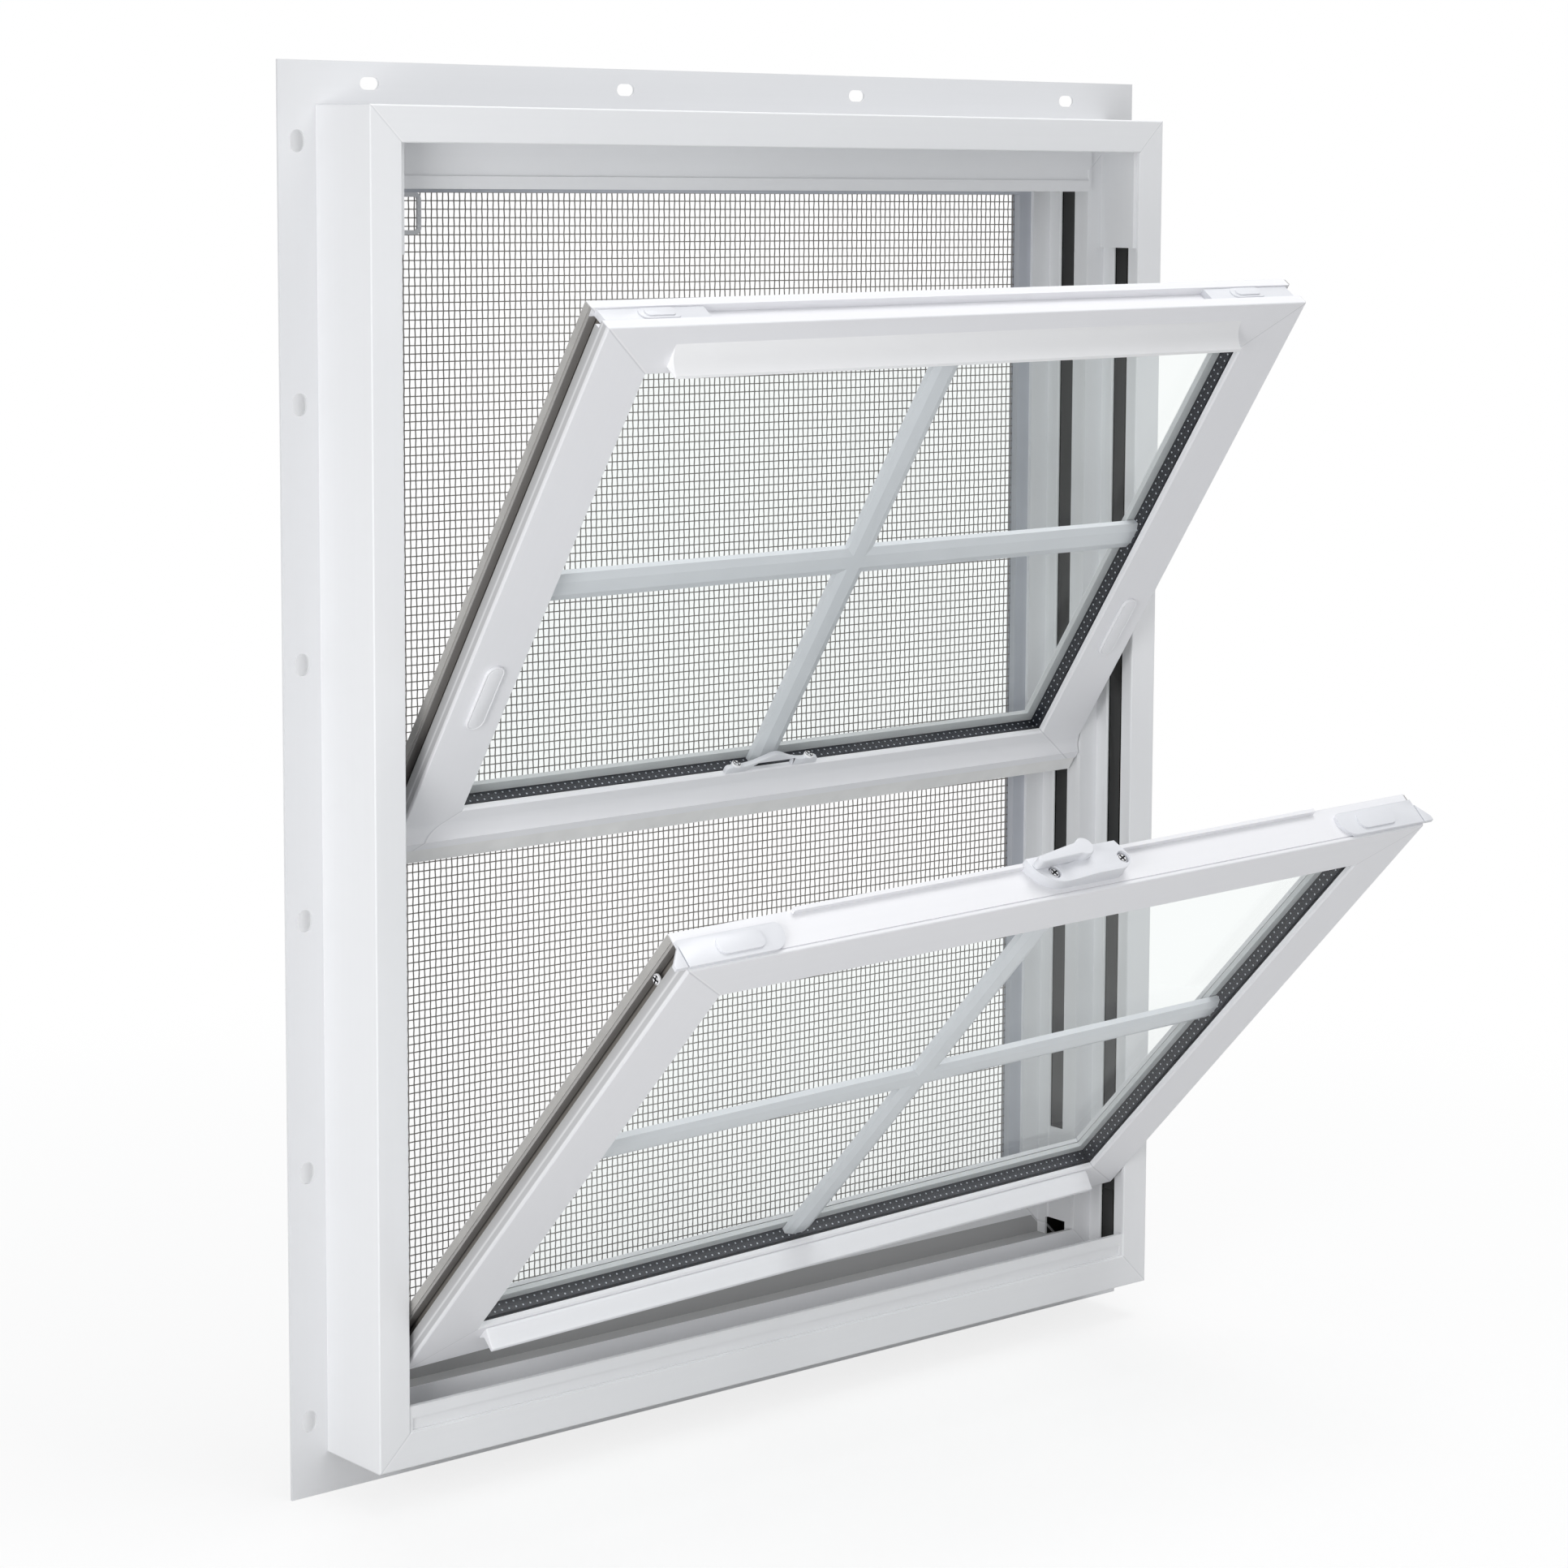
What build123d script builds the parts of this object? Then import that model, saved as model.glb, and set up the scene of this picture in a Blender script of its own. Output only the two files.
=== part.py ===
from build123d import *
import os

os.makedirs("parts", exist_ok=True)

# Frame as seen from the room, in millimetres: X right, Y towards the outside, Z up
frame_width = 597
frame_height = 762
inner_depth = 54  # room face to the nailing fin
outer_depth = 31  # nailing fin to the outdoor face
flange = 20.5  # flat face round the room side
flange_lip = 2.5
edge_radius = 1

# Tracks in the frame, measured inwards from its outer side
jamb_track = 19
parting_width = 33.5
outer_jamb_track = 31.5
stop_width = 46
parting_face = -20
parting_leg = 3
stop_face = 17.5
stop_leg = 2.5
head_seat = 14
sill_seat = 16
sill_outer_floor = 24
sill_stop = 41
locating_rib = 3

# Balance channels behind the slots of the jambs
inner_slot_centre = -37
outer_slot_centre = 0.3
slot_opening = 12.4
slot_lip = 1.8
slot_ridge_width = 3.5
slot_ridge_rise = 0.9
channel_width = 20
channel_floor = 4.5
outer_channel_from = 98
drain_width = 18
drain_height = 12
drain_depth = 15
drain_from_bottom = 24

# Nailing fin
fin_width = 24
fin_thickness = 1.6
fin_root = 2.5
fin_step = 0.4
side_slot_from_corner = 20
side_slot_count = 6
side_slot_width = 9
end_slot_from_corner = 34.8
end_slot_count = 4
end_slot_width = 7
nail_slot_length = 12.5

# Snap-in pieces of the frame
head_stop_drop = 25
head_stop_panel_top = 11
panel_height = 6.9
panel_depth = 1.4
panel_end = 2
snap_leg = 3
snap_foot = 9
dam_rise = 14.5
dam_setback = 1
dam_panel_from = 0.6
cover_height = 67
cover_front_rise = 4.2
cover_rear_rise = 3
cover_crown = 4.4
cover_hollow = 1.5

# Insect screen
screen_bar_width = 18
screen_bar_depth = 8
jamb_screen_seat = 38
head_screen_seat = 30
sill_screen_seat = 34
mesh_thickness = 0.8
mesh_setback = 5
mesh_bite = 3
mesh_strand = 2.5
mesh_columns = 8
mesh_rows = 10
tab_width = 24
tab_height = 24
tab_bar = 2.6
tab_thickness = 1.4
tab_radius = 4
tab_from_side = 4

# Both sashes
sash_thickness = 24
sash_bevel = 1
glass_stop = 3.5
rebate = 12
bead_thickness = 3.5
bead_taper = 2
side_groove_width = 6.5
side_groove_centre = 14
top_groove_width = 11
top_groove_centre = 12.5
groove_depth = 5
pane_thickness = 3
edge_clearance = 2
spacer_width = 7.5
grid_width = 19
grid_thickness = 7
grid_crown = 9
pile_width = 4.5
pile_height = 0.8
pile_centre = 21
pile_from_bottom = 16

# Lower sash, slides in the inner track; hung a little to the right and out of level
lower_height = 388
lower_side_clearance = 2
lower_top_face = 31.5
lower_stile_face = 37
lower_bottom_face = 31
lower_pivot_from_front = 14
lower_pivot_height = 87.5
lower_tilt = 44.7
lower_rack = 1.65
lower_play = 1.7
rail_groove_width = 0.8
rail_groove_from_front = 2.5
ridge_thickness = 2.4
ridge_rise = 3.2
ridge_inset = 80

# Upper sash, slides in the outer track
upper_side_clearance = 4
upper_top_face = 32
upper_stile_face = 37.5
upper_bottom_face = 28.5
upper_pivot_from_front = 16.5
upper_pivot_height = 372.6
upper_tilt = 34.5
upper_rack = 0.58
upper_play = 3

# Interlock along the foot of the upper sash, and the pile strip that hangs under it
interlock_top = 20
interlock_edge = 11
interlock_foot = 6
interlock_projection = 5.3
meeting_pile_thickness = 2
meeting_pile_drop = 10.5
meeting_pile_setback = 0.7
meeting_overlap = 26

# Pivots and balance shoes
pivot_above_bottom = 8
pivot_bar_width = 11.6
pivot_bar_height = 4.5
shoe_length = 44
shoe_clearance = 0.5

# Cam lock: depths run from the front of the rail, widths from the middle of the sash
lock_half_length = 35
lock_front = 5.5
lock_back = 24
lock_sweep_from = -15
lock_round_from = 25
lock_round_to = 12.5
lock_taper = 5
lock_height = 9.6
lock_low_height = 7.3
lock_swoop_from = -14
lock_swoop_to = 8
lock_screw_at = (-20.7, 29.6)
lock_screw_depth = 12.6
lock_pocket_radius = 4
lock_pocket_floor = 3.6
lever_knob_at = (2.6, 21)
lever_knob_radius = 5.8
lever_neck_radius = 4.2
lever_blend_radius = 8
lever_tip_at = (-31, 18)
lever_tip_radius = 2.4
lever_height = 7.6
lever_edge_radius = 1

# Keeper
keeper_length = 70
keeper_width = 3.4
keeper_height = 11.2
keeper_end_height = 4.6
keeper_end_radius = 2.2
keeper_arch_length = 50
keeper_opening_from = -20
keeper_opening_to = 16
keeper_opening_height = 5.4
keeper_opening_slope = 8
keeper_boss_at = 28
keeper_boss_width = 6
keeper_boss_rise = 1.2

# Tilt latches
latch_length = 67
latch_width = 16.5
latch_front = 1.5
latch_height = 2.4
latch_front_round = 11
latch_back_round = 4
latch_nose = 8
latch_nose_width = 13
latch_nose_blunt = 3
latch_gap = 0.8
thumb_length = 30
thumb_width = 11
thumb_height = 1.2
thumb_from_end = 22
thumb_round = 5
upper_latch_length = 70
upper_latch_from_end = 3.5
upper_latch_sink = 1
button_from_end = 41
button_length = 20
button_width = 6
button_height = 1.6
ring_length = 27
ring_width = 9
ring_height = 0.8

# Pull lip of the upper sash and lift rail of the lower one
lip_projection = 9.5
lip_height = 16
lip_edge = 2
lip_rise = 4
lip_inset = 11.5
lift_projection = 12.5
lift_drop = 3
lift_nose = 3
lift_web = 3
lift_height = 11
lift_inset = 5

vent_stop_length = 46
vent_stop_width = 12
vent_stop_height = 3
vent_stop_from_bottom = 115.5

# Places that follow from the sizes above
left_side = -frame_width / 2
right_side = frame_width / 2
frame_bottom = fin_width / 2
frame_top = frame_bottom + frame_height
screen_front = stop_face + stop_leg
screen_back = screen_front + screen_bar_depth
depth_dir = Vector(0, 1, 0)
left_dir, right_dir = Vector(-1, 0, 0), Vector(1, 0, 0)
down_dir, up_dir = Vector(0, 0, -1), Vector(0, 0, 1)

clear_height = frame_height - head_seat - sill_seat
upper_height = clear_height + meeting_overlap - lower_height
lower_width = frame_width - 2 * flange - 2 * lower_side_clearance
upper_width = frame_width - 2 * parting_width - 2 * upper_side_clearance


def run_plane(corner, inward, hang=Location()):
    """Plane at a corner: X into the opening, Y through the wall, Z along the bar."""
    plane = Plane(origin=corner, x_dir=inward, z_dir=inward.cross(depth_dir))
    return Plane(hang * plane.location)


def mitre(plane, length, own_face=1, near_face=1, far_face=1):
    """Cut both ends of a bar from its outer corners to where it meets the next bars inside."""
    near_cut = plane.z_dir * own_face - plane.x_dir * near_face
    far_cut = plane.z_dir * -own_face - plane.x_dir * far_face
    far_corner = plane.origin + plane.z_dir * length
    split(bisect_by=Plane(origin=plane.origin, z_dir=near_cut), keep=Keep.TOP)
    split(bisect_by=Plane(origin=far_corner, z_dir=far_cut), keep=Keep.TOP)


def facing_room(place, hang=Location()):
    """Upright plane at a place, drawn on from the room side; it extrudes towards the room."""
    return Plane(hang * Plane(origin=place, x_dir=right_dir, z_dir=-depth_dir).location)


def facing_up(place, hang=Location()):
    return Plane(hang * Plane(origin=place, x_dir=right_dir, z_dir=up_dir).location)


def finish(piece, label):
    piece.part.label = label
    export_step(piece.part, f"parts/{label}.step")


def frame_section(inner_wall, parting, outer_wall, stop, screen_seat, channelled=False):
    front = -inner_depth
    with BuildSketch() as section:
        with BuildLine():
            Polyline(
                (0, front),
                (flange, front),
                (flange, front + flange_lip),
                (inner_wall, front + flange_lip),
                (inner_wall, parting_face),
                (parting, parting_face),
                (parting, parting_face + parting_leg),
                (outer_wall, parting_face + parting_leg),
                (outer_wall, stop_face),
                (stop, stop_face),
                (stop, screen_front),
                (screen_seat, screen_front),
                (screen_seat, screen_back),
                (stop, screen_back),
                (stop, outer_depth),
                (0, outer_depth),
                (0, fin_thickness),
                (fin_root, fin_thickness),
                (fin_root, fin_step),
                (0, fin_step),
                close=True,
            )
        make_face()
        fillet(section.vertices().sort_by(Axis.Y)[:2], edge_radius)
        if channelled:
            for wall, centre in ((inner_wall, inner_slot_centre), (outer_wall, outer_slot_centre)):
                ridge_from = centre + slot_opening / 2
                with BuildLine():
                    Polyline(
                        (wall, ridge_from),
                        (wall + slot_ridge_rise, ridge_from + slot_ridge_rise),
                        (wall + slot_ridge_rise, ridge_from + slot_ridge_width),
                        (wall, ridge_from + slot_ridge_width),
                        close=True,
                    )
                make_face()
                add(balance_channel(wall, centre), mode=Mode.SUBTRACT)
    return section.sketch


def balance_channel(wall, centre):
    depth = wall - slot_lip - channel_floor
    with BuildSketch() as channel:
        with Locations((channel_floor + depth / 2, centre)):
            Rectangle(depth, channel_width)
        with Locations((wall - slot_lip / 2, centre)):
            Rectangle(slot_lip, slot_opening)
    return channel.sketch


# The welded frame: four bars of one extrusion, mitred, with balance channels in the jambs
frame_bars = {
    "frame_head": (Vector(left_side, 0, frame_top), down_dir, frame_width),
    "frame_sill": (Vector(right_side, 0, frame_bottom), up_dir, frame_width),
    "frame_left_jamb": (Vector(left_side, 0, frame_bottom), right_dir, frame_height),
    "frame_right_jamb": (Vector(right_side, 0, frame_top), left_dir, frame_height),
}
crossbars = []
head_rib = head_seat + locating_rib
jamb_section = frame_section(
    jamb_track, parting_width, outer_jamb_track, stop_width, jamb_screen_seat, channelled=True
)
frame_sections = {
    "frame_head": frame_section(head_seat, head_rib, head_seat, stop_width, head_screen_seat),
    "frame_sill": frame_section(sill_seat, parting_width, sill_outer_floor, sill_stop, sill_screen_seat),
}
for label, (corner, inward, length) in frame_bars.items():
    plane = run_plane(corner, inward)
    with BuildPart() as frame_bar:
        with BuildSketch(plane):
            add(frame_sections.get(label, jamb_section))
        extrude(amount=length)
        mitre(plane, length)
        if label in frame_sections:
            crossbars.append(frame_bar.part)
        else:
            # The jamb is deeper than the head and sill, so its ends run on to meet their faces
            rising = inward == right_dir
            near_seat, far_seat = (sill_seat, head_seat) if rising else (head_seat, sill_seat)
            for start, seat in ((near_seat, near_seat), (length - stop_width, far_seat)):
                with BuildSketch(plane.offset(start)):
                    add(jamb_section)
                extrude(amount=stop_width - seat)
            # Below the outer balance channel the jamb is closed, with a drain in its wall
            with BuildSketch(plane.offset(sill_seat if rising else length - outer_channel_from)):
                add(balance_channel(outer_jamb_track, outer_slot_centre))
            extrude(amount=outer_channel_from - sill_seat)
            for crossbar in crossbars:
                add(crossbar, mode=Mode.SUBTRACT)
            drain_rise = drain_from_bottom + drain_height / 2
            drain_middle = Vector(corner.X, 0, frame_bottom + drain_rise) + inward * outer_jamb_track
            with Locations(drain_middle):
                Box(2 * drain_depth, drain_width, drain_height, mode=Mode.SUBTRACT)
    finish(frame_bar, label)

# The nailing fin: flat strips in a groove of the frame, with slots for nails
side_slots = (side_slot_count, side_slot_from_corner, side_slot_width)
end_slots = (end_slot_count, end_slot_from_corner, end_slot_width)
fin_sides = {
    "nail_fin_left": (frame_bars["frame_left_jamb"], side_slots),
    "nail_fin_top": (frame_bars["frame_head"], end_slots),
    "nail_fin_right": (frame_bars["frame_right_jamb"], side_slots),
    "nail_fin_bottom": (frame_bars["frame_sill"], end_slots),
}
for label, ((corner, inward, length), (count, from_corner, slot_width)) in fin_sides.items():
    plane = run_plane(corner, inward)
    middle = corner + plane.z_dir * (length / 2) - inward * (fin_width / 2)
    pitch = (length - 2 * from_corner) / (count - 1)
    with BuildPart() as fin:
        with BuildSketch(plane.offset(-fin_width)):
            with Locations((-fin_width, 0)):
                Rectangle(fin_width, fin_thickness, align=Align.MIN)
            with Locations((0, fin_step)):
                Rectangle(fin_root, fin_thickness - fin_step, align=Align.MIN)
        extrude(amount=length + 2 * fin_width)
        mitre(plane, length)
        with BuildSketch(Plane(origin=middle, x_dir=plane.z_dir, z_dir=depth_dir)):
            with GridLocations(pitch, 1, count, 1):
                SlotOverall(nail_slot_length, slot_width)
        extrude(amount=fin_thickness, mode=Mode.SUBTRACT)
    finish(fin, label)


def snap_piece(label, plane, length, leg_height, foot_from, panel_from):
    """An upright leg with a shallow panel on its room face and a foot on the frame."""
    with BuildPart() as piece:
        with BuildSketch(plane):
            Rectangle(leg_height, snap_leg, align=Align.MIN)
            with Locations((0, foot_from)):
                Rectangle(snap_leg, snap_foot, align=Align.MIN)
        extrude(amount=length)
        panel_middle = plane.origin + plane.x_dir * (panel_from + panel_height / 2)
        panel_middle += plane.z_dir * (length / 2)
        with BuildSketch(Plane(origin=panel_middle, x_dir=plane.z_dir, z_dir=depth_dir)):
            Rectangle(length - 2 * panel_end, panel_height)
        extrude(amount=panel_depth, mode=Mode.SUBTRACT)
    finish(piece, label)


# The head stop hangs between the parting legs and hides the top of the outer track
head_stop_length = frame_width - 2 * parting_width
head_stop_corner = Vector(-head_stop_length / 2, parting_face - snap_leg, frame_top - head_seat)
snap_piece(
    "head_stop",
    run_plane(head_stop_corner, down_dir),
    head_stop_length,
    flange + head_stop_drop - head_seat,
    -snap_foot,
    flange + head_stop_panel_top - head_seat,
)

# The sill dam stands behind the room face of the sill, between the flanges of the jambs
dam_length = frame_width - 2 * flange
dam_corner = Vector(dam_length / 2, dam_setback - inner_depth, frame_bottom + flange)
snap_piece(
    "sill_dam",
    run_plane(dam_corner, up_dir),
    dam_length,
    dam_rise,
    0,
    dam_panel_from,
)

# Covers over the top of the inner balance slots
for side, label in ((1, "jamb_cover_left"), (-1, "jamb_cover_right")):
    wall = side * (left_side + jamb_track)
    cover_front = flange_lip - inner_depth
    cover_top = frame_top - head_seat
    with BuildPart() as cover:
        with BuildSketch(Plane.XY.offset(cover_top - cover_height)):
            with BuildLine():
                middle = (cover_front + parting_face) / 2
                back_edge = Line((wall, cover_front), (wall, parting_face))
                front_corner = Line(back_edge @ 0, (wall + side * cover_front_rise, cover_front))
                rear_corner = Line(back_edge @ 1, (wall + side * cover_rear_rise, parting_face))
                crown = (wall + side * cover_crown, middle)
                ThreePointArc(front_corner @ 1, crown, rear_corner @ 1)
            make_face()
            with Locations((wall, inner_slot_centre + slot_ridge_width / 2)):
                Rectangle(2 * cover_hollow, slot_opening + slot_ridge_width, mode=Mode.SUBTRACT)
        extrude(amount=cover_height)
    finish(cover, label)

# The insect screen: four mitred bars round a sheet of mesh, with a pull tab
screen_left = left_side + jamb_screen_seat
screen_right = right_side - jamb_screen_seat
screen_bottom = frame_bottom + sill_screen_seat
screen_top = frame_top - head_screen_seat
screen_width = screen_right - screen_left
screen_height = screen_top - screen_bottom
screen_bars = {
    "screen_bar_left": (Vector(screen_left, 0, screen_bottom), right_dir, screen_height),
    "screen_bar_top": (Vector(screen_left, 0, screen_top), down_dir, screen_width),
    "screen_bar_right": (Vector(screen_right, 0, screen_top), left_dir, screen_height),
    "screen_bar_bottom": (Vector(screen_right, 0, screen_bottom), up_dir, screen_width),
}
mesh_front = screen_front + mesh_setback
for label, (corner, inward, length) in screen_bars.items():
    plane = run_plane(corner, inward)
    with BuildPart() as screen_bar:
        with BuildSketch(plane):
            with Locations((0, screen_front)):
                Rectangle(screen_bar_width, screen_bar_depth, align=Align.MIN)
            with Locations((screen_bar_width - mesh_bite, mesh_front)):
                Rectangle(mesh_bite, mesh_thickness, align=Align.MIN, mode=Mode.SUBTRACT)
        extrude(amount=length)
        mitre(plane, length)
    finish(screen_bar, label)

# A coarse grid of strands stands for the woven cloth, and is held all round in the bars
mesh_middle = (0, mesh_front + mesh_thickness, (screen_top + screen_bottom) / 2)
cloth_width = screen_width - 2 * screen_bar_width
cloth_height = screen_height - 2 * screen_bar_width
cell_width = (cloth_width + mesh_strand) / mesh_columns
cell_height = (cloth_height + mesh_strand) / mesh_rows
with BuildPart() as screen_mesh:
    with BuildSketch(facing_room(mesh_middle)):
        Rectangle(cloth_width + 2 * mesh_bite, cloth_height + 2 * mesh_bite)
        with GridLocations(cell_width, cell_height, mesh_columns, mesh_rows):
            Rectangle(cell_width - mesh_strand, cell_height - mesh_strand, mode=Mode.SUBTRACT)
    extrude(amount=mesh_thickness)
finish(screen_mesh, "screen_mesh")

tab_middle = (
    screen_left + screen_bar_width + tab_from_side + tab_width / 2,
    mesh_front,
    screen_top - screen_bar_width - tab_height / 2,
)
with BuildPart() as screen_pull_tab:
    with BuildSketch(facing_room(tab_middle)):
        RectangleRounded(tab_width, tab_height, tab_radius)
        RectangleRounded(
            tab_width - 2 * tab_bar, tab_height - 2 * tab_bar, tab_radius - tab_bar, mode=Mode.SUBTRACT
        )
    extrude(amount=tab_thickness)
finish(screen_pull_tab, "screen_pull_tab")


def hang_sash(play, pivot_depth, pivot_height, tilt, rack, pivot_from_front):
    """Where a sash's own frame lands: X across, Y through it, Z up from its bottom edge."""
    pivot = Pos(play, pivot_depth, pivot_height) * Rot(0, -rack, 0) * Rot(tilt, 0, 0)
    return pivot * Pos(0, -pivot_from_front, -pivot_above_bottom)


def sash_section(face, groove_centre, groove_width, groove_depth):
    bead_front = sash_thickness - bead_thickness
    with BuildSketch() as section:
        with BuildLine():
            Polyline(
                (0, 0),
                (face - sash_bevel, 0),
                (face, sash_bevel),
                (face, glass_stop),
                (face - rebate, glass_stop),
                (face - rebate, bead_front),
                (face - bead_taper, bead_front),
                (face - 2 * bead_taper, sash_thickness),
                (0, sash_thickness),
                close=True,
            )
        make_face()
        fillet(section.vertices().group_by(Axis.X)[0].sort_by(Axis.Y)[0], edge_radius)
        with Locations((0, groove_centre)):
            Rectangle(2 * groove_depth, groove_width, mode=Mode.SUBTRACT)
    return section.sketch


def grid_section():
    """A flat bar with sloping shoulders, as the moulded grids between panes have."""
    half, crown = grid_width / 2, grid_crown / 2
    face, edge = grid_thickness / 2, grid_thickness / 4
    with BuildSketch() as section:
        with BuildLine():
            Polyline(
                (-half, -edge), (-crown, -face), (crown, -face), (half, -edge),
                (half, edge), (crown, face), (-crown, face), (-half, edge),
                close=True,
            )
        make_face()
    return section.sketch


def build_sash(name, hang, width, height, top_face, stile_face, bottom_face, top_grooved):
    """Rails, stiles, sealed glass with its spacer and grid, and the pile round the sash."""
    left_edge, right_edge = -width / 2, width / 2
    bars = {
        "left_stile": (Vector(left_edge, 0, 0), right_dir, height, bottom_face, stile_face, top_face),
        "top_rail": (Vector(left_edge, 0, height), down_dir, width, stile_face, top_face, stile_face),
        "right_stile": (Vector(right_edge, 0, height), left_dir, height, top_face, stile_face, bottom_face),
        "bottom_rail": (Vector(right_edge, 0, 0), up_dir, width, stile_face, bottom_face, stile_face),
    }
    side_groove = (side_groove_centre, side_groove_width, groove_depth)
    top_groove = (top_groove_centre, top_groove_width, groove_depth)
    rail_groove = (rail_groove_from_front, rail_groove_width, rail_groove_width)
    for part_name, (corner, inward, length, near_face, face, far_face) in bars.items():
        plane = run_plane(corner, inward, hang)
        groove = side_groove
        if part_name == "top_rail":
            groove = top_groove if top_grooved else rail_groove
        with BuildPart() as bar:
            with BuildSketch(plane):
                add(sash_section(face, *groove))
            extrude(amount=length)
            mitre(plane, length, face, near_face, far_face)
            if top_grooved and "stile" in part_name:
                outward = 1 if part_name == "right_stile" else -1
                with Locations(hang * Pos(outward * width / 2, top_groove_centre, height)):
                    Box(4 * groove_depth, top_groove_width, 2 * groove_depth, mode=Mode.SUBTRACT)
            if part_name == "top_rail" and not top_grooved:
                with Locations(hang * ridge_seat):
                    Box(width - 2 * ridge_inset, ridge_thickness, ridge_rise)
        finish(bar, f"{name}_{part_name}")

    overlap = rebate - edge_clearance
    glass_width = width - 2 * stile_face + 2 * overlap
    glass_height = height - top_face - bottom_face + 2 * overlap
    middle_height = (height - top_face + bottom_face) / 2
    outer_pane_front = sash_thickness - bead_thickness - pane_thickness
    spacer_front = glass_stop + pane_thickness
    for pane_name, front in (("inner_pane", glass_stop), ("outer_pane", outer_pane_front)):
        with BuildPart() as pane:
            with BuildSketch(facing_room((0, front + pane_thickness, middle_height), hang)):
                Rectangle(glass_width, glass_height)
            extrude(amount=pane_thickness)
        finish(pane, f"{name}_{pane_name}")
    spacer_depth = outer_pane_front - spacer_front
    inside_width = glass_width - 2 * spacer_width
    inside_height = glass_height - 2 * spacer_width
    with BuildPart() as spacer:
        with BuildSketch(facing_room((0, outer_pane_front, middle_height), hang)):
            Rectangle(glass_width, glass_height)
            Rectangle(inside_width, inside_height, mode=Mode.SUBTRACT)
        extrude(amount=spacer_depth)
    finish(spacer, f"{name}_spacer")

    grid_depth = (spacer_front + outer_pane_front) / 2
    with BuildPart() as grid:
        with BuildSketch(facing_up((0, grid_depth, middle_height - inside_height / 2), hang)):
            add(grid_section())
        extrude(amount=inside_height)
        level_corner = Vector(-inside_width / 2, grid_depth, middle_height)
        with BuildSketch(run_plane(level_corner, down_dir, hang)):
            add(grid_section())
        extrude(amount=inside_width)
    finish(grid, f"{name}_grid")

    with BuildPart() as pile:
        for edge in (left_edge, right_edge):
            outward = 1 if edge > 0 else -1
            pile_middle = (pile_from_bottom + height) / 2
            with Locations(hang * Pos(edge + outward * pile_height / 2, pile_centre, pile_middle)):
                Box(pile_height, pile_width, height - pile_from_bottom)
        with Locations(hang * Pos(0, pile_centre, -pile_height / 2)):
            Box(width, pile_width, pile_height)
    finish(pile, f"{name}_weatherstrip")


lower_hang = hang_sash(
    lower_play, inner_slot_centre, lower_pivot_height, lower_tilt, lower_rack, lower_pivot_from_front
)
upper_hang = hang_sash(
    upper_play, outer_slot_centre, upper_pivot_height, upper_tilt, upper_rack, upper_pivot_from_front
)
# The ridge stands on the lower sash's top rail, flush with its outdoor face
ridge_seat = Pos(0, sash_thickness - ridge_thickness / 2, lower_height + ridge_rise / 2)
build_sash(
    "lower", lower_hang, lower_width, lower_height, lower_top_face, lower_stile_face, lower_bottom_face, False
)
build_sash(
    "upper", upper_hang, upper_width, upper_height, upper_top_face, upper_stile_face, upper_bottom_face, True
)

# Pivot bars leave the sides of the sashes and turn in the balance shoes
sashes = {
    "lower": (lower_hang, lower_width, lower_pivot_from_front, jamb_track, inner_slot_centre, lower_rack),
    "upper": (upper_hang, upper_width, upper_pivot_from_front, outer_jamb_track, outer_slot_centre, upper_rack),
}
for name, (hang, width, pivot_from_front, wall, centre, rack) in sashes.items():
    shoe_depth = wall - slot_lip - channel_floor - shoe_clearance
    pivot = (hang * Pos(0, pivot_from_front, pivot_above_bottom)).position
    rise = (frame_width / 2 - wall) * (Rot(0, -rack, 0) * Pos(1, 0, 0)).position.Z
    reach = shoe_depth / 2 + slot_lip
    with BuildPart() as pivot_bars:
        for outward in (-1, 1):
            end = outward * (frame_width / 2 - wall + reach) - pivot.X
            bar_length = abs(end) - width / 2
            bar_middle = outward * (width / 2 + bar_length / 2)
            with Locations(hang * Pos(bar_middle, pivot_from_front, pivot_above_bottom)):
                Box(bar_length, pivot_bar_width, pivot_bar_height)
    finish(pivot_bars, f"{name}_pivot_bars")
    with BuildPart() as shoes:
        for outward in (-1, 1):
            shoe_middle = outward * (frame_width / 2 - wall + slot_lip + shoe_depth / 2)
            with Locations((shoe_middle, centre, pivot.Z + outward * rise)):
                Box(shoe_depth, channel_width - 2 * shoe_clearance, shoe_length)
        add(pivot_bars.part, mode=Mode.SUBTRACT)
    finish(shoes, f"{name}_balance_shoes")

# The upper sash's interlock: a cove along its foot, over the rail and the ends of the stiles
with BuildPart() as interlock:
    with BuildSketch(run_plane(Vector(upper_width / 2, 0, 0), up_dir, upper_hang)):
        with BuildLine():
            cove = TangentArc((interlock_top, 0), (interlock_edge, -interlock_projection), tangent=(-1, 0))
            Polyline(
                cove @ 1,
                (interlock_foot, -interlock_projection),
                (interlock_foot, 0),
                (interlock_top, 0),
            )
        make_face()
    extrude(amount=upper_width)
finish(interlock, "upper_interlock")

pile_front = meeting_pile_setback - interlock_projection
with BuildPart() as meeting_pile:
    with BuildSketch(run_plane(Vector(upper_width / 2, 0, interlock_foot), up_dir, upper_hang)):
        with Locations((-meeting_pile_drop, pile_front)):
            Rectangle(meeting_pile_drop, meeting_pile_thickness, align=Align.MIN)
    extrude(amount=upper_width)
finish(meeting_pile, "upper_meeting_pile")

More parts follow.
